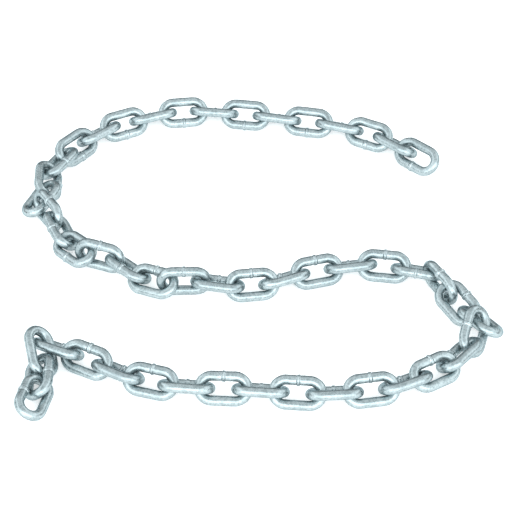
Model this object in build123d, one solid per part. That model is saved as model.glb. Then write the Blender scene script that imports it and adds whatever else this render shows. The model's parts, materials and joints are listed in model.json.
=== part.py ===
from build123d import *
import os

# A four-foot length of galvanised chain of the 1/4 in trade size, of the kind that
# joins an anchor to its rope.  It lies on the ground in three rows, folded back
# at each end, with its last links heaped up.  Millimetres, +Z up, ground at Z = 0.

# ---- the link: an oval of round wire, butt-welded half way along one leg ----
WIRE = 6.6                  # wire diameter, zinc included
INSIDE_LENGTH = 24.1        # also the pitch of a taut chain
INSIDE_WIDTH = 9.1
WELD_LENGTH = 3.0           # the ring that the butt weld leaves round the leg
WELD_RISE = 0.4             # how far that ring stands proud of the wire
WELD_ROUNDING = 0.3

BOW_RADIUS = (INSIDE_WIDTH + WIRE) / 2      # centre line of a link's round end
LEG = INSIDE_LENGTH - INSIDE_WIDTH          # straight length between the bows

# ---- how the links of a row lie ----
CLEARANCE = 0.3             # gap left between two links that pull on each other
ROW_HEIGHT = 8.85           # centre height of a link that leans at 45 degrees

# A row starts at a point and goes on link by link.  Each pair is the heading of
# a link, in degrees from +X, and its slack: how far it could still be pulled
# away from the link before it.  The leans of a row take turns, so that each
# link stands square to the next, and they say which leg the weld is on.
FIRST_ROW_START = (116.5, 99.5)
FIRST_ROW_LEANS = (-45, -143)
FIRST_ROW = [
    (138, 0.0), (139, 3.4), (153, 1.6), (162, 0.4), (169, 0.2), (168, 0.0), (172, 0.1),
    (173, 0.0), (187, 0.6), (201, 0.6), (205, 0.7), (221, 2.4), (229, 1.9),
]
SECOND_ROW_START = (-3.0, -37.5)
SECOND_ROW_LEANS = (45, -37)
SECOND_ROW = [
    (7, 0.0), (23, 1.1), (15, 0.4), (10, 0.3), (352, 0.8),
]
THIRD_ROW_START = (94.5, -128.5)
THIRD_ROW_LEANS = (-143, 135)
THIRD_ROW = [
    (205, 0.0), (189, 0.7), (184, 0.4), (175, 0.5), (175, 0.2), (177, 0.3), (174, 0.2),
    (164, 0.6), (152, 0.8), (153, 0.5),
]

# The links of the two turns and of the heap lie freely, so each has a place of
# its own: X, Y, Z of its centre, its heading, how far its nose is up, its lean.
FIRST_TURN = [
    (-143.5, 93.5, 7.5, 239, -2, 30),
    (-149.0, 72.5, 8.5, 272, -1, -40),
    (-152.0, 52.5, 8.5, 245, -5, 23),
    (-146.0, 37.0, 11.0, 302, 2, 75),
    (-135.5, 17.5, 9.0, 295, -6, 141),
    (-124.5, -1.0, 8.5, 314, 5, -157),
    (-106.5, -10.5, 11.0, 339, 0, 80),
    (-87.0, -21.0, 8.5, 319, -3, 145),
    (-69.5, -33.5, 8.5, 334, 6, 28),
    (-48.5, -36.5, 11.5, 1, 0, 86),
    (-26.0, -37.5, 10.0, 351, -2, -26),
]
SECOND_TURN = [
    (109.0, -23.5, 8.0, 346, 0, 146),
    (123.0, -38.0, 11.5, 299, 0, 92),
    (133.5, -55.5, 9.0, 304, -9, 28),
    (147.0, -72.5, 8.5, 304, 7, 148),
    (142.0, -84.5, 11.5, 253, -18, 132),
    (130.5, -103.5, 8.5, 228, -3, -144),
    (114.0, -118.0, 8.0, 212, 2, 146),
]
HEAP = [
    (-128.5, -98.0, 8.5, 155, -1, -139),
    (-138.5, -103.0, 11.0, 284, -20, -36),
    (-138.5, -122.5, 8.0, 271, 0, 34),
    (-140.0, -140.0, 7.5, 258, 3, 148),
]


def link():
    """One link lying flat, its length along X and its weld on the +Y leg."""
    centre_line = SlotCenterToCenter(LEG, 2 * BOW_RADIUS).face().outer_wire()
    section = Plane(centre_line @ 0, z_dir=centre_line % 0) * Circle(WIRE / 2)
    oval = sweep(section, path=centre_line)
    weld = Rot(0, 90, 0) * Cylinder(WIRE / 2 + WELD_RISE, WELD_LENGTH)
    weld = fillet(weld.edges().filter_by(GeomType.CIRCLE), WELD_ROUNDING)
    return oval + Pos(0, BOW_RADIUS, 0) * weld


def turned(heading, nose, lean):
    """A link's attitude: turned about Z, then nose up, then rolled on its length."""
    return Rot(0, 0, heading) * Rot(0, -nose, 0) * Rot(lean, 0, 0)


def lay_row(start, leans, route):
    """Places of a row's links, each one hooked through the bow of the last."""
    places = []
    centre = Vector(*start, ROW_HEIGHT)
    last = None
    for number, (heading, slack) in enumerate(route):
        axes = Plane(turned(heading, 0, leans[number % 2]))
        if last:
            # two hooked bows pull apart along the line where their planes meet
            pull = last.z_dir.cross(axes.z_dir).normalized()
            if pull.dot(last.x_dir + axes.x_dir) < 0:
                pull = -pull
            reach = 2 * BOW_RADIUS - WIRE - CLEARANCE - slack
            centre += last.x_dir * LEG / 2 + pull * reach + axes.x_dir * LEG / 2
            centre = Vector(centre.X, centre.Y, ROW_HEIGHT)
        places.append(Pos(*centre) * turned(heading, 0, leans[number % 2]))
        last = axes
    return places


def lay_freely(table):
    """Places of links that each lie in their own way."""
    return [Pos(x, y, z) * turned(*attitude) for x, y, z, *attitude in table]


def chain_places():
    """Places of all the links in order, from the top end to the bottom end."""
    places = lay_row(FIRST_ROW_START, FIRST_ROW_LEANS, FIRST_ROW)
    places += lay_freely(FIRST_TURN)
    places += lay_row(SECOND_ROW_START, SECOND_ROW_LEANS, SECOND_ROW)
    places += lay_freely(SECOND_TURN)
    places += lay_row(THIRD_ROW_START, THIRD_ROW_LEANS, THIRD_ROW)
    places += lay_freely(HEAP)
    return places


def link_names(count):
    """Node names: the two end links by their place, the others by number."""
    inner = [f"link_{number:02d}" for number in range(2, count)]
    return ["end_link_top", *inner, "end_link_bottom"]


PLACES = chain_places()
NAMES = link_names(len(PLACES))
LINK = link()
laid = [place * LINK for place in PLACES]

# the origin is the middle of the laid chain, on the ground
box = Compound(laid).bounding_box()
TO_ORIGIN = Pos(-box.center().X, -box.center().Y, -box.min.Z)

os.makedirs("parts", exist_ok=True)
for name, solid in zip(NAMES, laid):
    export_step(TO_ORIGIN * solid, f"parts/{name}.step")
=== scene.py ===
"""A four-foot anchor lead chain: 50 butt-welded oval links of hot-dip galvanised wire.

Every link of the CAD frame is replaced by a finer one in the same place: the zinc coat is
uneven, the wire has the dents of handling, the bows are rubbed where they pull on each other,
and the weld stands round one leg as a ragged ring with a groove along its middle.
"""

import json
import math
import random

import bpy
import numpy as np
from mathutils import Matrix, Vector, noise


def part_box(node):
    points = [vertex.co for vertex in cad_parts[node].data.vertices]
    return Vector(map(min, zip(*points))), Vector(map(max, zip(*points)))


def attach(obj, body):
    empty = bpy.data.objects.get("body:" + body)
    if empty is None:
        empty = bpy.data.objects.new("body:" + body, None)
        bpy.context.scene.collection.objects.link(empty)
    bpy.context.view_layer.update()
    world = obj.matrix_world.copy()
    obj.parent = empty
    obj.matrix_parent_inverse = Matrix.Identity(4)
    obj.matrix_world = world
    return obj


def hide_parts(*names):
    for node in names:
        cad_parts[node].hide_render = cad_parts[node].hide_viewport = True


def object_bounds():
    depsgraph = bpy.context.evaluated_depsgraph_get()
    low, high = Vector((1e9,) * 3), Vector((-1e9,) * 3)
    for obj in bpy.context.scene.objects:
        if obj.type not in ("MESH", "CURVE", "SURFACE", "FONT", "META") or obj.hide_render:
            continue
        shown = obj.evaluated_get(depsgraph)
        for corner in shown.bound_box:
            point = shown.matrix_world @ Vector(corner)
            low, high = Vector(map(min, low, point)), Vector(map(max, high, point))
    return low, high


MM = 0.001

# ---- the link, as in the CAD, in millimetres ----
WIRE = 6.6
INSIDE_LENGTH = 24.1
INSIDE_WIDTH = 9.1
BOW_RADIUS = (INSIDE_WIDTH + WIRE) / 2  # centre line of a link's round end
LEG = INSIDE_LENGTH - INSIDE_WIDTH  # straight length between the bows
BOW = math.pi * BOW_RADIUS
HALF_WAY = LEG + BOW  # along the centre line, from the weld to the middle of the other leg
CROWNS = (HALF_WAY / 2, -HALF_WAY / 2)  # the middles of the two bows
SHOULDER = 0.17 * BOW  # from a bow's start to the mark of the bending tool
NEAR_WELD = 1.4  # each side of a leg's middle, just short of the ends of the CAD's weld ring

# ---- how finely a link is meshed, in millimetres ----
STEP = 0.5  # between sections along the wire
WELD_STEP = 0.16  # the same near the weld
WELD_ZONE = 2.1  # each side of the weld, where sections are closer
SIDES = 32  # points round the wire

# ---- the coat and the marks on it, in millimetres, and radians round the wire ----
NOISE_SPAN = 500  # each link has a place of its own in the noise, drawn from this span
NOISE_DRIFT = Vector((0.2, 0.6, 1.4))  # the direction in which these places lie
COAT_INSET = 0.05  # keeps the lumps inside the CAD solid
LUMP_SIZE = 4.5
LUMP_HEIGHT = 0.08
RIPPLE_SIZE = 1.3
RIPPLE_HEIGHT = 0.03
CROWN_WEAR = 0.09  # rubbed off inside each bow
CROWN_LENGTH = 3.4
CROWN_ANGLE = 0.8
FORMING_FLAT = 0.10  # left by the bending tool on a bow's shoulders
FLAT_LENGTH = 1.9
FLAT_ANGLE = 0.5
DENTS = 5  # on each link
DENT_DEPTH = (0.06, 0.16)
DENT_RADIUS = (0.8, 2.0)

# ---- the weld ring, in millimetres ----
RIDGE_OUT = 0.5  # from the joint line to the ridge on each side of it
RIDGE_WIDTH = 0.45
RIDGE_HEIGHT = (0.38, 0.66)
RAGGED_SCALE = 1.4  # of the noise round the wire that makes a ridge ragged
RAGGED_GAIN = 0.9
RAGGED_APART = 5  # between the noise of the two ridges, so that they differ
SEAM_HEIGHT = 0.25  # fills the groove between the ridges, as a share of their height
SEAM_WIDTH = 0.3
UNDERCUT = 0.10
UNDERCUT_OUT = 1.5
UNDERCUT_WIDTH = 0.4
MISMATCH = 0.12  # how far the two wire ends missed each other
MISMATCH_FADE = 3.0
WELD_BAND = 2.2  # how far the band with the painted highlight and the smoother finish reaches each side

# ---- the looks of the zinc: sizes in millimetres, linear colours, shares from 0 to 1 ----
CLOUD_SIZE = 6
MOTTLE_SIZE = 1.5
GRAIN_SIZE = 0.35
CRYSTAL_SIZE = 1.1
CLOUD_SHARE = 0.45  # of the patches; the mottle makes up the rest
PATCH_EDGE = (0.36, 0.62)  # from the dull patches to the pale ones
DULL = (0.29, 0.35, 0.362, 1)
PALE = (0.45, 0.52, 0.533, 1)
CRYSTAL = (0.60, 0.67, 0.70, 1)
CRYSTAL_SHARE = 0.12
# a paler colour round the weld: a painted highlight
WELD_HIGHLIGHT = (0.50, 0.56, 0.575, 1)
WELD_HIGHLIGHT_SHARE = 0.4
WORN = (0.55, 0.60, 0.62, 1)
WORN_SHARE = 0.55
WORN_EDGE = (0.3, 0.6)  # of the mottle, which breaks up the worn places
WORN_LEAST = 0.4
DARK = (0.25, 0.30, 0.32, 1)
DARK_SHARE = 0.22  # on the darkest link
ROUGH_EDGE = (0.3, 0.7)
ROUGHNESS = (0.19, 0.30)
CRYSTAL_ROUGHER = 0.06  # this and the next two are added to the roughness
WELDED_ROUGHER = -0.06
WORN_ROUGHER = -0.12
GRAIN_RELIEF = 0.12  # as a share of the mottle's relief
CRYSTAL_RELIEF = 0.08
BUMP_STRENGTH = 0.22
BUMP_DEPTH = 0.12
METALLIC = 0.9
RIM_TINT = (0.42, 0.50, 0.53, 1)

# ---- the floor ----
FLOOR_REACH = 8  # in metres
FLOOR_COLOUR = (0.92, 0.93, 0.93, 1)
FLOOR_ROUGHNESS = 0.9
FLOOR_SHINE = 0.1
FLOOR_GLOW_COLOUR = (1, 1, 1, 1)
FLOOR_GLOW = 0.42

# ---- the picture: distances in metres, lens and sensor in millimetres ----
VIEW_ELEVATION = math.radians(42)
VIEW_DISTANCE = 1.261
VIEW_TARGET = Vector((2.7, -2.2, 0.3)) * MM
LENS = 127.9
SENSOR = 36

# ---- the light: strengths, and edges by the direction it comes from, -1 to 1 on each axis ----
LIGHT_COLOUR = (0.93, 0.98, 1.0, 1)
WINDOW = 2.8
WINDOW_EDGE = (-0.1, -0.75)  # along Y
WINDOW_TOP = (0.85, 0.6)  # along Z
CEILING = 0.9
CEILING_EDGE = (0.3, 0.8)  # along Z
SIDE_WINDOW = 1.7
SIDE_EDGE = (0.25, 0.75)  # along X, either way
SIDE_BOTTOM = (0.05, 0.4)  # along Z
ROOM = 0.17


def bell(distance, width):
    """1 at distance 0, fading over width."""
    return math.exp(-((distance / width) ** 2))


def link_axes(node, toward):
    """Centre of a CAD link, and the directions of its length, width and thickness.

    The length points toward the next link and the width toward the leg with the weld.
    """
    mesh = node.data
    mesh.calc_loop_triangles()
    points = np.array([v.co for v in mesh.vertices], float)
    corners = points[np.array([t.vertices for t in mesh.loop_triangles])]
    across = np.cross(corners[:, 1] - corners[:, 0], corners[:, 2] - corners[:, 0])
    area = np.linalg.norm(across, axis=1)
    middles = corners.mean(1)
    centre = (middles * area[:, None]).sum(0) / area.sum()
    spread = (middles - centre) * np.sqrt(area)[:, None]
    # the surface spreads most along the link's length and least through its thickness
    directions = np.linalg.eigh(spread.T @ spread)[1]
    length, thickness = directions[:, 2], directions[:, 0]
    if length @ (toward - centre) < 0:
        length = -length
    width = np.cross(thickness, length)
    offset = points - centre
    by_weld = np.abs(offset @ length) < NEAR_WELD * MM
    if (offset[by_weld] @ width).sum() < 0:
        width, thickness = -width, -thickness
    # the weld ring pulls the mean off centre, so the centre is measured from the plain sides
    along, over = offset @ length, offset @ thickness
    centre = centre + length * (along.max() + along.min()) / 2
    centre = centre + thickness * (over.max() + over.min()) / 2
    centre = centre + width * ((offset @ width).min() + (BOW_RADIUS + WIRE / 2) * MM)
    return centre, length, width, thickness


def stations():
    """Distances along the centre line from the weld, closer together at the weld."""
    rest = 2 * (HALF_WAY - WELD_ZONE)
    count = round(rest / STEP)
    weld = np.arange(-WELD_ZONE, WELD_ZONE - WELD_STEP / 2, WELD_STEP)
    return [*weld, *(WELD_ZONE + rest * k / count for k in range(count))]


def oval(s):
    """Point of the centre line at distance s from the weld, and the direction out of the link."""
    s = s % (2 * HALF_WAY)
    if s >= HALF_WAY:  # the second half is the first one turned half way round
        point, out = oval(s - HALF_WAY)
        return -point, -out
    if s < LEG / 2:
        return Vector((s, BOW_RADIUS, 0)), Vector((0, 1, 0))
    if s < LEG / 2 + BOW:
        turn = (s - LEG / 2) / BOW_RADIUS
        out = Vector((math.sin(turn), math.cos(turn), 0))
        return Vector((LEG / 2, 0, 0)) + BOW_RADIUS * out, out
    return Vector((HALF_WAY - s, -BOW_RADIUS, 0)), Vector((0, -1, 0))


def from_weld(s):
    """Distance along the wire from the weld, negative on one side of it, positive on the other."""
    return (s + HALF_WAY) % (2 * HALF_WAY) - HALF_WAY


def weld_ring(s, angle, luck):
    """Height of the weld's flash at distance s from the joint and that angle round the wire."""
    layer = luck + (RAGGED_APART if s < 0 else 0)
    round_wire = RAGGED_SCALE * math.cos(angle), RAGGED_SCALE * math.sin(angle)
    ragged = noise.noise(Vector((*round_wire, layer)))
    low, high = RIDGE_HEIGHT
    ridge = low + (high - low) * min(max(0.5 + RAGGED_GAIN * ragged, 0), 1)
    height = ridge * bell(abs(s) - RIDGE_OUT, RIDGE_WIDTH)
    height += SEAM_HEIGHT * ridge * bell(s, SEAM_WIDTH)
    return height - UNDERCUT * bell(abs(s) - UNDERCUT_OUT, UNDERCUT_WIDTH)


def wear(s, angle):
    """How much the bow is rubbed there, from 0 to 1: most inside the crown."""
    inside = abs(angle - math.pi)
    return max(bell(s - crown, CROWN_LENGTH) for crown in CROWNS) * bell(inside, CROWN_ANGLE)


def forming(s, angle):
    """How much the bending tool flattened the wire there, from 0 to 1."""
    outside = min(angle, 2 * math.pi - angle)
    marks = [LEG / 2 + SHOULDER, LEG / 2 + BOW - SHOULDER]
    return max(bell(abs(s) - mark, FLAT_LENGTH) for mark in marks) * bell(outside, FLAT_ANGLE)


def on_wire(s, angle, radius=WIRE / 2):
    """The point of the wire's surface at distance s and that angle round it, 0 being outward."""
    point, out = oval(s)
    return point + radius * (math.cos(angle) * out + math.sin(angle) * Vector((0, 0, 1)))


def link_surface(rng):
    """Vertices of one link in its own axes, in millimetres, with their wear and weld values."""
    luck = rng.uniform(0, NOISE_SPAN)
    drift = luck * NOISE_DRIFT
    dents = []
    for _ in range(DENTS):
        place = on_wire(rng.uniform(-HALF_WAY, HALF_WAY), rng.uniform(0, 2 * math.pi))
        dents.append((place, rng.uniform(*DENT_DEPTH), rng.uniform(*DENT_RADIUS)))
    missed = rng.uniform(0, 2 * math.pi)
    points, worn, weld_highlight_and_smoothness = [], [], []
    for station in stations():
        s = from_weld(station)
        slip = math.copysign(MISMATCH / 2, s) * math.exp(-abs(s) / MISMATCH_FADE)
        _, out = oval(station)
        slip = slip * (math.cos(missed) * out + math.sin(missed) * Vector((0, 0, 1)))
        for k in range(SIDES):
            angle = 2 * math.pi * k / SIDES
            place = on_wire(station, angle)
            lumps = LUMP_HEIGHT * noise.noise(place / LUMP_SIZE + drift)
            lumps += RIPPLE_HEIGHT * noise.noise(place / RIPPLE_SIZE - drift)
            rubbed = wear(s, angle)
            height = min(lumps - COAT_INSET, 0)
            height -= CROWN_WEAR * rubbed + FORMING_FLAT * forming(s, angle)
            for dent, depth, radius in dents:
                height -= depth * bell((place - dent).length, radius)
            if abs(s) < WELD_ZONE:
                height += weld_ring(s, angle, luck)
            points.append(on_wire(station, angle, WIRE / 2 + height) + slip)
            worn.append(rubbed)
            # the band round the weld, which carries the painted highlight and the smoother finish
            # there
            weld_highlight_and_smoothness.append(bell(s, WELD_BAND))
    return np.array(points), worn, weld_highlight_and_smoothness


def tube_faces(rings):
    """Quads between neighbouring sections of a closed tube."""
    faces = []
    for ring in range(rings):
        here, there = ring * SIDES, (ring + 1) % rings * SIDES
        for k in range(SIDES):
            beside = (k + 1) % SIDES
            faces.append((here + k, there + k, there + beside, here + beside))
    return faces


def make_link(name, node, toward, box, material, rng):
    """The finished link that stands for a CAD link, kept inside the CAD model's box."""
    centre, length, width, thickness = link_axes(node, toward)
    points, worn, weld_highlight_and_smoothness = link_surface(rng)
    points = centre + MM * points @ np.array([length, width, thickness])
    points = np.clip(points, *box)
    mesh = bpy.data.meshes.new(name)
    mesh.from_pydata(points.tolist(), [], tube_faces(len(points) // SIDES))
    carried = {"worn": worn, "weld": weld_highlight_and_smoothness, "tone": [rng.random()] * len(points)}
    for label, values in carried.items():
        mesh.attributes.new(label, "FLOAT", "POINT").data.foreach_set("value", values)
    mesh.shade_smooth()
    mesh.materials.append(material)
    link = bpy.data.objects.new(name, mesh)
    bpy.context.scene.collection.objects.link(link)
    return link


class Graph:
    """The nodes of a material or of the world, made and joined by short calls."""

    def __init__(self, owner, shader="Principled BSDF"):
        owner.use_nodes = True
        self.owner = owner
        self.tree = owner.node_tree
        self.shader = self.tree.nodes[shader]

    def feed(self, socket, value):
        """Joins another node's output to the socket, or sets the socket to a constant."""
        if isinstance(value, bpy.types.NodeSocket):
            self.tree.links.new(value, socket)
        else:
            socket.default_value = value

    def node(self, kind, settings=(), **inputs):
        """A new node with these settings and inputs, with _ for a space in an input's name."""
        made = self.tree.nodes.new(kind)
        for key, value in dict(settings).items():
            setattr(made, key, value)
        for key, value in inputs.items():
            self.feed(made.inputs[key.replace("_", " ")], value)
        return made

    def math(self, operation, a, b=0.0, c=0.0):
        """The result of that operation on up to three values."""
        made = self.node("ShaderNodeMath", {"operation": operation})
        for socket, value in zip(made.inputs, (a, b, c)):
            self.feed(socket, value)
        return made.outputs[0]

    def noise(self, size, detail=2.0, roughness=0.5):
        """Noise with features of that size in millimetres."""
        made = self.node("ShaderNodeTexNoise", Vector=self.place(), Scale=1 / (size * MM))
        self.feed(made.inputs["Detail"], detail)
        self.feed(made.inputs["Roughness"], roughness)
        return made.outputs["Fac"]

    def place(self):
        """Where a point lies on the object, in metres."""
        return self.node("ShaderNodeTexCoord").outputs["Object"]

    def ranged(self, value, low, high, to_low=0.0, to_high=1.0):
        """The value, taken smoothly from the range low to high into the other range."""
        made = self.node("ShaderNodeMapRange", {"interpolation_type": "SMOOTHSTEP"}, Value=value)
        limits = {"From Min": low, "From Max": high, "To Min": to_low, "To Max": to_high}
        for key, number in limits.items():
            made.inputs[key].default_value = number
        return made.outputs["Result"]

    def mixed(self, share, a, b):
        """Colour b over colour a, to that share."""
        made = self.node("ShaderNodeMix", {"data_type": "RGBA"})
        # the node's types share their socket names, so its colour sockets go by number
        for number, value in ((0, share), (6, a), (7, b)):
            self.feed(made.inputs[number], value)
        return made.outputs[2]

    def attribute(self, name):
        """A value that the vertices of a link carry."""
        return self.node("ShaderNodeAttribute", {"attribute_name": name}).outputs["Fac"]


def galvanised_steel():
    """Hot-dip zinc: satin, faintly blue, mottled, with a painted highlight round the weld, and
    brighter where it is rubbed.
    """
    graph = Graph(bpy.data.materials.new("galvanised_steel"))
    clouds = graph.noise(CLOUD_SIZE, detail=3)
    mottle = graph.noise(MOTTLE_SIZE, detail=3, roughness=0.6)
    grain = graph.noise(GRAIN_SIZE)
    cells = graph.node("ShaderNodeTexVoronoi", Vector=graph.place(), Scale=1 / (CRYSTAL_SIZE * MM))
    crystal = graph.node("ShaderNodeSeparateColor", Color=cells.outputs["Color"]).outputs["Red"]
    broken = graph.ranged(mottle, *WORN_EDGE, WORN_LEAST, 1)
    worn = graph.math("MULTIPLY", graph.attribute("worn"), broken)
    # the band round the weld: a painted highlight in the colour, and a smoother finish in the
    # roughness
    weld = graph.attribute("weld")
    tone = graph.attribute("tone")

    patches = graph.math("MULTIPLY", mottle, 1 - CLOUD_SHARE)
    patches = graph.math("MULTIPLY_ADD", clouds, CLOUD_SHARE, patches)
    colour = graph.mixed(graph.ranged(patches, *PATCH_EDGE), DULL, PALE)
    colour = graph.mixed(graph.ranged(crystal, 0, 1, 0, CRYSTAL_SHARE), colour, CRYSTAL)
    # painted highlight: the band round the weld is mixed toward a paler colour
    colour = graph.mixed(graph.math("MULTIPLY", weld, WELD_HIGHLIGHT_SHARE), colour, WELD_HIGHLIGHT)
    colour = graph.mixed(graph.math("MULTIPLY", worn, WORN_SHARE), colour, WORN)
    colour = graph.mixed(graph.ranged(tone, 0, 1, 0, DARK_SHARE), colour, DARK)

    rough = graph.ranged(mottle, *ROUGH_EDGE, *ROUGHNESS)
    rough = graph.math("MULTIPLY_ADD", crystal, CRYSTAL_ROUGHER, rough)
    rough = graph.math("MULTIPLY_ADD", weld, WELDED_ROUGHER, rough)
    rough = graph.math("MULTIPLY_ADD", worn, WORN_ROUGHER, rough)

    relief = graph.math("MULTIPLY_ADD", grain, GRAIN_RELIEF, mottle)
    relief = graph.math("MULTIPLY_ADD", crystal, CRYSTAL_RELIEF, relief)
    bump = graph.node(
        "ShaderNodeBump", Height=relief, Strength=BUMP_STRENGTH, Distance=BUMP_DEPTH * MM
    )

    inputs = graph.shader.inputs
    graph.feed(inputs["Base Color"], colour)
    graph.feed(inputs["Roughness"], rough)
    graph.feed(inputs["Normal"], bump.outputs["Normal"])
    inputs["Metallic"].default_value = METALLIC
    inputs["Specular Tint"].default_value = RIM_TINT
    return graph.owner


def plain_floor():
    """A pale floor, well past the edges of every view."""
    mesh = bpy.data.meshes.new("floor")
    far, near = FLOOR_REACH, -FLOOR_REACH
    corners = [(near, near, 0), (far, near, 0), (far, far, 0), (near, far, 0)]
    mesh.from_pydata(corners, [], [(0, 1, 2, 3)])
    graph = Graph(bpy.data.materials.new("floor"))
    inputs = graph.shader.inputs
    inputs["Base Color"].default_value = FLOOR_COLOUR
    inputs["Roughness"].default_value = FLOOR_ROUGHNESS
    inputs["Specular IOR Level"].default_value = FLOOR_SHINE
    inputs["Emission Color"].default_value = FLOOR_GLOW_COLOUR
    inputs["Emission Strength"].default_value = FLOOR_GLOW
    mesh.materials.append(graph.owner)
    floor = bpy.data.objects.new("floor", mesh)
    bpy.context.scene.collection.objects.link(floor)


def studio():
    """Soft light: a wide window in front, one at each side, a paler ceiling, a dim room behind."""
    scene = bpy.context.scene
    scene.world = bpy.data.worlds.new("room")
    graph = Graph(scene.world, "Background")
    direction = graph.node("ShaderNodeTexCoord").outputs["Generated"]
    from_x, from_y, from_z = graph.node("ShaderNodeSeparateXYZ", Vector=direction).outputs

    front = graph.ranged(from_y, *WINDOW_EDGE)
    window = graph.math("MULTIPLY", front, graph.ranged(from_z, *WINDOW_TOP))
    window = graph.math("MULTIPLY", window, WINDOW)
    side = graph.ranged(graph.math("ABSOLUTE", from_x), *SIDE_EDGE)
    side_window = graph.math("MULTIPLY", side, graph.ranged(from_z, *SIDE_BOTTOM))
    side_window = graph.math("MULTIPLY", side_window, SIDE_WINDOW)
    ceiling = graph.ranged(from_z, *CEILING_EDGE, 0, CEILING)

    light = graph.math("MAXIMUM", graph.math("MAXIMUM", window, side_window), ceiling)
    light = graph.math("ADD", light, ROOM)
    graph.feed(graph.shader.inputs["Color"], LIGHT_COLOUR)
    graph.feed(graph.shader.inputs["Strength"], light)
    scene.view_settings.view_transform = "Standard"


def camera():
    """The photograph's view, from the front and above."""
    data = bpy.data.cameras.new("camera")
    data.lens = LENS
    data.sensor_width = SENSOR
    made = bpy.data.objects.new("camera", data)
    back = Vector((0, -math.cos(VIEW_ELEVATION), math.sin(VIEW_ELEVATION)))
    made.location = VIEW_TARGET + VIEW_DISTANCE * back
    made.rotation_euler = (math.pi / 2 - VIEW_ELEVATION, 0, 0)
    bpy.context.scene.collection.objects.link(made)
    bpy.context.scene.camera = made


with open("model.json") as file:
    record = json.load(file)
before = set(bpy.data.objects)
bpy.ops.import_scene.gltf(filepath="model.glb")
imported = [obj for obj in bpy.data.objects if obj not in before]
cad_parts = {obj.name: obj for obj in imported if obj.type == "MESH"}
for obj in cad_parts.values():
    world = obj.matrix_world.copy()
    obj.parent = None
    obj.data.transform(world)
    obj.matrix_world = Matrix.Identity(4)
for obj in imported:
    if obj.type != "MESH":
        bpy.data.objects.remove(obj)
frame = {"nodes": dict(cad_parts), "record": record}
cad_box = [list(corner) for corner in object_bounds()]

bodies = frame["record"]["behaviour"]["bodies"]
body_of_node = {node: body for body, nodes in bodies.items() for node in nodes}
names = [name for name in sorted(frame["nodes"]) if name.startswith("link_")]
names = ["end_link_top", *names, "end_link_bottom"]
middles = [np.array(sum(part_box(name), Vector()) / 2) for name in names]
zinc = galvanised_steel()
for number, name in enumerate(names):
    ahead = middles[min(number + 1, len(names) - 1)]
    behind = middles[max(number - 1, 0)]
    toward = middles[number] + (ahead - behind)
    node, rng = frame["nodes"][name], random.Random(number)
    link = make_link("visual_" + name, node, toward, cad_box, zinc, rng)
    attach(link, body_of_node[name])
    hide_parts(name)

plain_floor()
studio()
camera()
